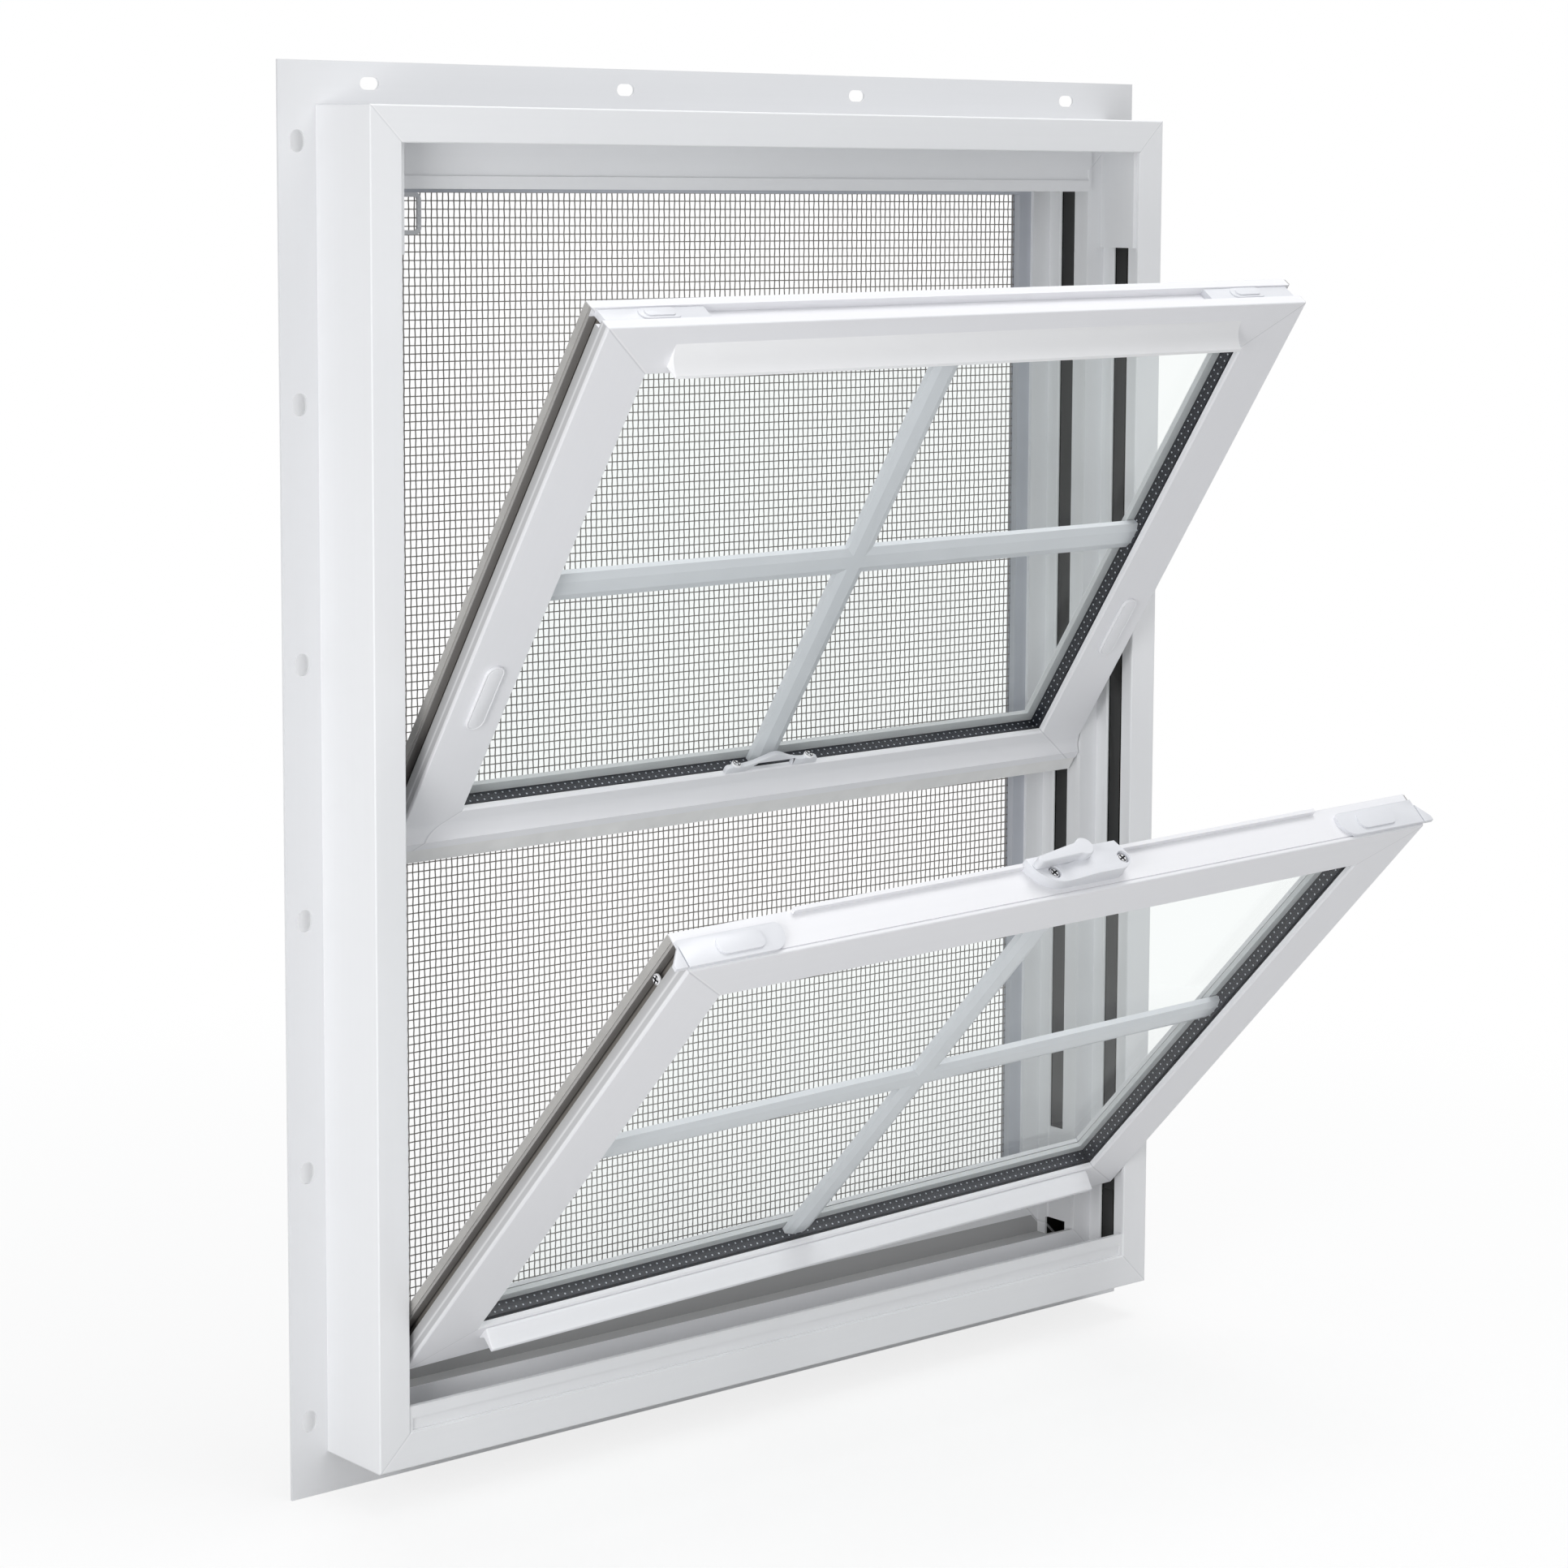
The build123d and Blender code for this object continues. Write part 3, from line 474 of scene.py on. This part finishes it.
grid = {
    "dark": (0.76, 0.775, 0.81, 1),
    "light": (0.82, 0.835, 0.87, 1),
    "roughness": 0.28,
    "flow": 40.0,
    "grain": 500.0,
    "bump": 0.08,
    "bumpDepth": 0.0002,
}


def gridFinish():
    # Painted bars between the panes
    made = newFinish("grid paint")
    place = made.place()
    flow = made.noise(place, grid["flow"])
    base = made.tint(flow, grid["dark"], grid["light"])
    return made.plastic(Base_Color=base, Roughness=grid["roughness"] + flow * 0.08,
                        Normal=made.bump(made.noise(place, grid["grain"]), grid["bump"], grid["bumpDepth"]))


for name, sash in sashes.items():
    paint(spacerFinish(name + " spacer", sash), name + "_spacer")
paint(gridFinish(), "upper_grid", "lower_grid")
print("glass, spacers and grids finished")


hardware = mouldedFinish("moulded hardware", (0.785, 0.795, 0.83, 1), (0.75, 0.76, 0.795, 1), 0.3)
paint(hardware, "lock_base", "lock_lever", "keeper", "left_vent_stop", "right_vent_stop",
      *(name for name in nodes if name.endswith("_tilt_latch")))
paint(mouldedFinish("grey pile", (0.50, 0.49, 0.47, 1), (0.36, 0.35, 0.34, 1), 0.9),
      "upper_weatherstrip", "lower_weatherstrip")
paint(mouldedFinish("pale pile", (0.93, 0.925, 0.92, 1), (0.78, 0.775, 0.77, 1), 0.9), "upper_meeting_pile")
paint(mouldedFinish("dark shoe plastic", (0.03, 0.03, 0.03, 1), (0.015, 0.015, 0.015, 1), 0.5),
      "upper_balance_shoes", "lower_balance_shoes")
paint(mouldedFinish("screen bar paint", (0.56, 0.58, 0.63, 1), (0.50, 0.52, 0.57, 1), 0.35),
      *(name for name in nodes if name.startswith("screen_bar")))
paint(mouldedFinish("tab plastic", (0.80, 0.81, 0.83, 1), (0.74, 0.75, 0.77, 1), 0.4), "screen_pull_tab")


zinc = {
    "dark": (0.42, 0.42, 0.43, 1),
    "light": (0.62, 0.62, 0.63, 1),
    "stretch": (40.0, 400.0, 400.0),
    "flakes": 6.0,
    "roughness": 0.3,
}


def zincFinish():
    # Drawn bar: flakes run along it, from side to side of the window
    made = newFinish("zinc")
    flakes = made.noise(made.stretched(made.place(), zinc["stretch"]), zinc["flakes"])
    return made.plastic(Base_Color=made.tint(flakes, zinc["dark"], zinc["light"]),
                        Metallic=1.0, Roughness=zinc["roughness"] + flakes * 0.15)


paint(zincFinish(), "upper_pivot_bars", "lower_pivot_bars")
print("hardware finished")


# Making and shaping pieces
def clearSelection():
    if bpy.context.mode != "OBJECT":
        bpy.ops.object.mode_set(mode="OBJECT")
    bpy.ops.object.select_all(action="DESELECT")


def makeActive(piece):
    clearSelection()
    piece.select_set(True)
    bpy.context.view_layer.objects.active = piece


def settle(piece, matrix=None):
    # The place goes into the mesh, and the object ends at the origin
    makeActive(piece)
    bpy.ops.object.transform_apply(location=True, rotation=True, scale=True)
    if matrix is not None:
        piece.matrix_world = matrix
        bpy.ops.object.transform_apply(location=True, rotation=True, scale=True)


def copyOf(source, name):
    piece = source.copy()
    piece.data = source.data.copy()
    piece.name = name
    bpy.context.scene.collection.objects.link(piece)
    return piece


def fitOut(piece, material, slotName, *replaced):
    # The piece gets its material and its body, and stands in for the CAD nodes named
    piece.data.materials.clear()
    piece.data.materials.append(material)
    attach(piece, "root")
    if replaced:
        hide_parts(*replaced)


def pick(elements, kind, chosen):
    # Only the chosen vertices, edges or faces are selected, and edit mode is on
    bpy.ops.object.mode_set(mode="EDIT")
    bpy.ops.mesh.select_mode(type=kind)
    bpy.ops.mesh.select_all(action="DESELECT")
    bpy.ops.object.mode_set(mode="OBJECT")
    for element in elements():
        element.select = chosen(element)
    bpy.ops.object.mode_set(mode="EDIT")


def applyModifier(piece, kind, **settings):
    makeActive(piece)
    modifier = piece.modifiers.new(kind, kind)
    for key, value in settings.items():
        setattr(modifier, key, value)
    bpy.ops.object.modifier_apply(modifier=modifier.name)


softening = {
    "merge": 0.00001,
    "flat": math.radians(1),
    "sharp": math.radians(32),     # arrises sharper than this are rounded
    "smooth": math.radians(40),
}


def soften(name, material, slotName, width, segments=3, work=None):
    # A merged copy of the CAD piece with its arrises rounded stands in for it
    piece = copyOf(nodes[name], name + "_soft")
    makeActive(piece)
    bpy.ops.object.mode_set(mode="EDIT")
    bpy.ops.mesh.select_all(action="SELECT")
    bpy.ops.mesh.remove_doubles(threshold=softening["merge"])
    bpy.ops.mesh.normals_make_consistent(inside=False)
    bpy.ops.mesh.dissolve_limited(angle_limit=softening["flat"])
    bpy.ops.object.mode_set(mode="OBJECT")
    if work:
        work(piece)
    applyModifier(piece, "BEVEL", width=width, segments=segments, limit_method="ANGLE",
                  angle_limit=softening["sharp"], use_clamp_overlap=True)
    makeActive(piece)
    bpy.ops.object.shade_smooth_by_angle(angle=softening["smooth"])
    fitOut(piece, material, slotName, name)


# How far the arrises of each piece are rounded
softPieces = {
    "lock_base": 0.0007, "lock_lever": 0.0009, "keeper": 0.0005,
    "lower_left_tilt_latch": 0.0006, "lower_right_tilt_latch": 0.0006,
    "upper_left_tilt_latch": 0.0003, "upper_right_tilt_latch": 0.0003,
}
for name, width in softPieces.items():
    soften(name, hardware, "hardware", width)

ventStop = {
    "sink": 0.0011,        # how far its face goes down towards the stile
    "rim": 0.0011,
    "groove": 0.0004,
    "depth": 0.0005,
    "round": 0.0002,
}


def ventGroove(piece):
    # The face sinks nearly flush, and a groove parts the slide from its rim
    roomSide = sashes["upper"]["turn"].to_matrix() @ Vector((0, -1, 0))
    pick(lambda: piece.data.polygons, "FACE", lambda face: face.normal.dot(roomSide) > 0.99)
    bpy.ops.transform.translate(value=roomSide * -ventStop["sink"])
    bpy.ops.mesh.inset(thickness=ventStop["rim"], depth=0)
    bpy.ops.mesh.inset(thickness=ventStop["groove"] / 2, depth=-ventStop["depth"])
    bpy.ops.mesh.inset(thickness=ventStop["groove"] / 2, depth=ventStop["depth"])
    bpy.ops.object.mode_set(mode="OBJECT")


for name in ("left_vent_stop", "right_vent_stop"):
    soften(name, sashes["upper"]["railVinyl"], "hardware", ventStop["round"], segments=2, work=ventGroove)

lipRound = 0.0006
soften("upper_pull_lip", lipVinylPaintedLight, "sash_vinyl", lipRound)
soften("lower_lift_rail", sashes["lower"]["railVinyl"], "sash_vinyl", lipRound)
print("hardware softened")


screw = {
    "radius": 0.0031,
    "height": 0.0014,
    "sides": 32,
    "crown": 0.7,                          # share of the height that is domed
    "recess": (0.0044, 0.0011, 0.0020),    # the cross's arms: length, width, twice the depth
    "turn": 20,                            # of the cross, in degrees
    "smooth": math.radians(35),
    "slot": "steel",
    "head": mouldedFinish("white screw paint", (0.90, 0.90, 0.92, 1), (0.86, 0.86, 0.88, 1), 0.25),
    # painted shade for the cross recess
    "inside": mouldedFinish("screw recess painted shade", (0.03, 0.03, 0.032, 1), (0.015, 0.015, 0.017, 1), 0.5),
}
# Places in their sash, and the way each head faces there
screwPlaces = {
    "lock_screw_left": ("lower", (-0.0207, 0.0126, 0.3935), "up"),
    "lock_screw_right": ("lower", (0.0296, 0.0126, 0.3952), "up"),
    "keeper_screw_left": ("upper", (-0.028, 0.0018, 0.0337), "up"),
    "keeper_screw_right": ("upper", (0.028, 0.0018, 0.0337), "up"),
    "stile_screw": ("lower", (-0.2745, 0.0140, 0.362), "left"),
}


def crossScrew():
    # A domed head with a cross recess, its underside at the origin
    clearSelection()
    bpy.ops.mesh.primitive_cylinder_add(vertices=screw["sides"], radius=screw["radius"],
                                        depth=screw["height"], location=(0, 0, screw["height"] / 2))
    head = bpy.context.object
    head.name = "screw_pattern"
    settle(head)
    pick(lambda: head.data.edges, "EDGE",
         lambda edge: all(head.data.vertices[i].co.z > screw["height"] * 0.9 for i in edge.vertices))
    bpy.ops.mesh.bevel(offset=screw["height"] * screw["crown"], segments=4)
    bpy.ops.mesh.select_mode(type="VERT")
    bpy.ops.object.mode_set(mode="OBJECT")
    for angle in (screw["turn"], screw["turn"] + 90):
        clearSelection()
        bpy.ops.mesh.primitive_cube_add(size=1, location=(0, 0, screw["height"]),
                                        rotation=(0, 0, math.radians(angle)))
        cutter = bpy.context.object
        cutter.scale = screw["recess"]
        settle(cutter)
        applyModifier(head, "BOOLEAN", operation="DIFFERENCE", object=cutter, solver="EXACT")
        bpy.data.objects.remove(cutter)
    head.data.materials.clear()
    head.data.materials.append(screw["head"])
    head.data.materials.append(screw["inside"])
    # The cross recess gets the near-black finish: painted shade for the shadow in it
    for polygon in head.data.polygons:
        middle = polygon.center
        inRecess = math.hypot(middle.x, middle.y) < screw["recess"][0] * 0.55
        sunk = 0.0001 < middle.z < screw["height"] - 0.00001
        polygon.material_index = 1 if inRecess and sunk else 0
    makeActive(head)
    bpy.ops.object.shade_smooth_by_angle(angle=screw["smooth"])
    return head


pattern = crossScrew()
for name, (sashName, place, facing) in screwPlaces.items():
    piece = copyOf(pattern, name)
    turn = Matrix.Identity(4) if facing == "up" else Matrix.Rotation(math.radians(-90), 4, "Y")
    settle(piece, sashes[sashName]["matrix"] @ Matrix.Translation(place) @ turn)
    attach(piece, "root")
bpy.data.objects.remove(pattern)
print("screws driven")


bead = {
    "front": 0.0143,       # depth in the sash of the strip's room side
    "back": 0.0174,
    "spacerInset": 0.0025,     # how far the spacer lies behind the edge of the face
    "clearance": 0.00005,
    "reach": 0.0065,           # how far it stands out over the glass
    "round": 0.0002,
    "sharp": math.radians(40),
}
beadFinish = mouldedFinish("pale sealant", (0.70, 0.715, 0.725, 1), (0.62, 0.635, 0.645, 1), 0.45)


def sealantRing(name, sash):
    # A pale ring stands on the spacer, against the outer pane
    behind = bead["spacerInset"] - bead["clearance"]
    halfWidth = sash["width"] / 2 - sash["stileFace"] + behind
    low = sash["bottomFace"] - behind
    high = sash["height"] - sash["topFace"] + behind
    middle = (0, (bead["front"] + bead["back"]) / 2, (low + high) / 2)
    clearSelection()
    bpy.ops.mesh.primitive_cube_add(size=1, location=middle)
    ring = bpy.context.object
    ring.name = name
    ring.scale = (2 * halfWidth, bead["back"] - bead["front"], high - low)
    settle(ring)
    pick(lambda: ring.data.polygons, "FACE", lambda face: abs(face.normal.y) > 0.9)
    bpy.ops.mesh.inset(thickness=bead["reach"], depth=0)
    bpy.ops.mesh.bridge_edge_loops()
    bpy.ops.mesh.select_all(action="SELECT")
    bpy.ops.mesh.normals_make_consistent(inside=False)
    bpy.ops.mesh.select_mode(type="VERT")
    bpy.ops.object.mode_set(mode="OBJECT")
    applyModifier(ring, "BEVEL", width=bead["round"], segments=2, limit_method="ANGLE",
                  angle_limit=bead["sharp"])
    settle(ring, sash["matrix"])
    fitOut(ring, beadFinish, "spacer")


for name, sash in sashes.items():
    sealantRing(name + "_sealant", sash)
print("sealant rings laid")


screen = {
    "acrossPitch": 0.00385,
    "upPitch": 0.00485,
    "wireWidth": 0.00062,
    "wireDepth": 0.00038,
    "wave": 0.00019,      # how far a wire swings out of the sheet's middle
    "edge": 0.001,        # what the sheet's two ends together stay short of the bars
    "merge": 0.00001,
    "dark": (0.20, 0.185, 0.17, 1),
    "light": (0.28, 0.26, 0.245, 1),
    "wear": 120.0,
    "roughness": 0.5,
    "grain": 2500.0,
    "bump": 0.1,
    "bumpDepth": 0.0001,
}
meshLow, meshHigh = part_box("screen_mesh")


def weaveWires(name, length, pitch, spacing, span, upright):
    # One wire's wave over two crossings is modelled, then repeated along and across the sheet
    wires = round(span / spacing)
    spacing = span / wires
    crossings = round(length / pitch)
    pitch = length / crossings
    clearSelection()
    bpy.ops.mesh.primitive_cube_add(size=1, location=(0, 0, pitch))
    wire = bpy.context.object
    wire.name = name
    wire.scale = (screen["wireWidth"], screen["wireDepth"], 2 * pitch)
    settle(wire)
    bpy.ops.object.mode_set(mode="EDIT")
    bpy.ops.mesh.select_all(action="SELECT")
    bpy.ops.mesh.bisect(plane_co=(0, 0, pitch), plane_no=(0, 0, 1))
    bpy.ops.object.mode_set(mode="OBJECT")
    for swing, atMiddle in ((screen["wave"], False), (-screen["wave"], True)):
        pick(lambda: wire.data.vertices, "VERT",
             lambda vertex: (0.5 * pitch < vertex.co.z < 1.5 * pitch) == atMiddle)
        bpy.ops.transform.translate(value=(0, swing, 0))
        bpy.ops.object.mode_set(mode="OBJECT")
    # The end caps between cells go, so that the repeats join into one wire
    pick(lambda: wire.data.polygons, "FACE", lambda face: abs(face.normal.z) > 0.99)
    bpy.ops.mesh.delete(type="ONLY_FACE")
    bpy.ops.mesh.select_mode(type="VERT")
    bpy.ops.object.mode_set(mode="OBJECT")
    applyModifier(wire, "ARRAY", count=crossings // 2 + 1, use_relative_offset=False,
                  use_constant_offset=True, constant_offset_displace=(0, 0, 2 * pitch),
                  use_merge_vertices=True, merge_threshold=screen["merge"])
    wire.location = (0, 0, -pitch * (crossings // 2 + 0.5))
    settle(wire)
    bpy.ops.object.mode_set(mode="EDIT")
    for side in (-1, 1):
        bpy.ops.mesh.select_all(action="SELECT")
        bpy.ops.mesh.bisect(plane_co=(0, 0, side * length / 2), plane_no=(0, 0, side),
                            clear_outer=True)
    bpy.ops.mesh.select_all(action="SELECT")
    bpy.ops.mesh.fill_holes(sides=4)
    bpy.ops.mesh.normals_make_consistent(inside=False)
    # The neighbour swings the other way
    bpy.ops.mesh.select_all(action="SELECT")
    bpy.ops.mesh.duplicate_move(TRANSFORM_OT_translate={"value": (spacing, 0, 0)})
    bpy.ops.transform.resize(value=(1, -1, 1), center_override=(0, 0, 0))
    bpy.ops.mesh.flip_normals()
    bpy.ops.object.mode_set(mode="OBJECT")
    applyModifier(wire, "ARRAY", count=wires // 2, use_relative_offset=False,
                  use_constant_offset=True, constant_offset_displace=(2 * spacing, 0, 0))
    wire.location = (-spacing * (wires // 2 * 2 - 1) / 2, 0, 0)
    settle(wire)
    # The sheet stands in its bars, with its wires upright or level
    middle = (meshLow + meshHigh) / 2
    turn = Matrix.Identity(4) if upright else Matrix.Rotation(math.radians(90), 4, "Y")
    settle(wire, Matrix.Translation(middle) @ turn)
    return wire


def wireFinish():
    # Coated wire, worn unevenly
    made = newFinish("screen wire")
    place = made.place()
    wear = made.noise(place, screen["wear"])
    base = made.tint(wear, screen["dark"], screen["light"])
    return made.plastic(Base_Color=base, Roughness=screen["roughness"] + wear * 0.1,
                        Normal=made.bump(made.noise(place, screen["grain"]), screen["bump"],
                                         screen["bumpDepth"]))


sheetWidth = meshHigh.x - meshLow.x - screen["edge"]
sheetHeight = meshHigh.z - meshLow.z - screen["edge"]
acrossPitch, upPitch = screen["acrossPitch"], screen["upPitch"]
warp = weaveWires("screen_warp", sheetHeight, upPitch, acrossPitch, sheetWidth, True)
weft = weaveWires("screen_weft", sheetWidth, acrossPitch, upPitch, sheetHeight, False)
wireMaterial = wireFinish()
for wires in (warp, weft):
    fitOut(wires, wireMaterial, "screen_mesh", "screen_mesh")
print("screen woven:", len(warp.data.polygons) + len(weft.data.polygons), "faces")


studio = {
    "sky": 0.55,
    "skyColour": (0.97, 0.985, 1, 1),
    "floorSize": 60,
    "floorDrop": 0.0002,           # the floor lies this far under the bottom fin
    "floorLit": (0.62, 0.62, 0.62, 1),
    "shadeNear": 0.35,             # the floor's shadow is seen in full up to here
    "shadeFade": 0.9,
    "shade": 0.22,
}
lamps = {
    "side": {"place": (-1.45, -0.8, 0.45), "target": (0, 0, 0.4), "size": 0.6, "power": 9.0},
    "top": {"place": (0.35, -0.5, 2.6), "target": (0, -0.1, 0.4), "size": 1.4, "power": 26.0},
    "front": {"place": (-0.4, -1.8, 0.12), "target": (0, 0, 0.1), "size": 0.6, "power": 1.5},
}


def seenDirectly(made):
    # 1 for the camera, for mirror-like gloss and for light through glass
    path = made.tree.nodes.new("ShaderNodeLightPath")
    rays = [Amount(made, path.outputs[name]) for name in
            ("Is Camera Ray", "Is Glossy Ray", "Is Transmission Ray")]
    return made.maths("MINIMUM", rays[0] + rays[1] + rays[2], 1)


clearSelection()
bpy.ops.mesh.primitive_plane_add(size=studio["floorSize"],
                                 location=(0, 0, window["floor"] - studio["floorDrop"]))
floor = bpy.context.object
floor.name = "studio_floor"
settle(floor)
bpy.ops.object.mode_set(mode="EDIT")
bpy.ops.mesh.subdivide(number_cuts=3)
bpy.ops.object.mode_set(mode="OBJECT")
made = newFinish("studio floor")
direct = seenDirectly(made)
colour = made.tint(direct, studio["floorLit"], white)
matt = made.node("ShaderNodeBsdfDiffuse", {}, {"Color": colour})
glow = made.node("ShaderNodeEmission", {}, {"Color": white, "Strength": 1.0})
across, away, up = made.parts(made.place())
distance = made.maths("SQRT", across * across + away * away)
shaded = made.within(distance, studio["shadeNear"], studio["shadeFade"]) * studio["shade"]
surface = made.node("ShaderNodeMixShader", {}, {0: direct * (1 - shaded), 1: matt, 2: glow})
floor.data.materials.append(made.done(surface))

world = bpy.data.worlds.new("studio")
bpy.context.scene.world = world
sky = Finish(world)
direct = seenDirectly(sky)
around = sky.node("ShaderNodeBackground", {}, {"Color": studio["skyColour"], "Strength": studio["sky"]})
backdrop = sky.node("ShaderNodeBackground", {}, {"Color": white, "Strength": 1.0})
sky.done(sky.node("ShaderNodeMixShader", {}, {0: direct, 1: around, 2: backdrop}), "ShaderNodeOutputWorld")

for name, setting in lamps.items():
    lamp = bpy.data.lights.new(name, "AREA")
    lamp.shape = "SQUARE"
    lamp.size = setting["size"]
    lamp.energy = setting["power"]
    holder = bpy.data.objects.new(name, lamp)
    holder.location = setting["place"]
    towards = Vector(setting["target"]) - Vector(setting["place"])
    holder.rotation_euler = towards.to_track_quat("-Z", "Y").to_euler()
    bpy.context.scene.collection.objects.link(holder)

view = {
    "place": (-1.4492, -1.8348, 0.7447),
    "turn": (83.333, -0.598, -41.685),
    "sensor": 36,
    "lens": 88.757,
    "shift": (-0.1211, -0.1066),
}
lens = bpy.data.cameras.new("camera")
lens.sensor_width = view["sensor"]
lens.lens = view["lens"]
lens.shift_x, lens.shift_y = view["shift"]
camera = bpy.data.objects.new("camera", lens)
camera.location = view["place"]
camera.rotation_euler = [math.radians(angle) for angle in view["turn"]]
bpy.context.scene.collection.objects.link(camera)
bpy.context.scene.camera = camera
bpy.context.scene.view_settings.view_transform = "Standard"
print("floor, light and camera set")
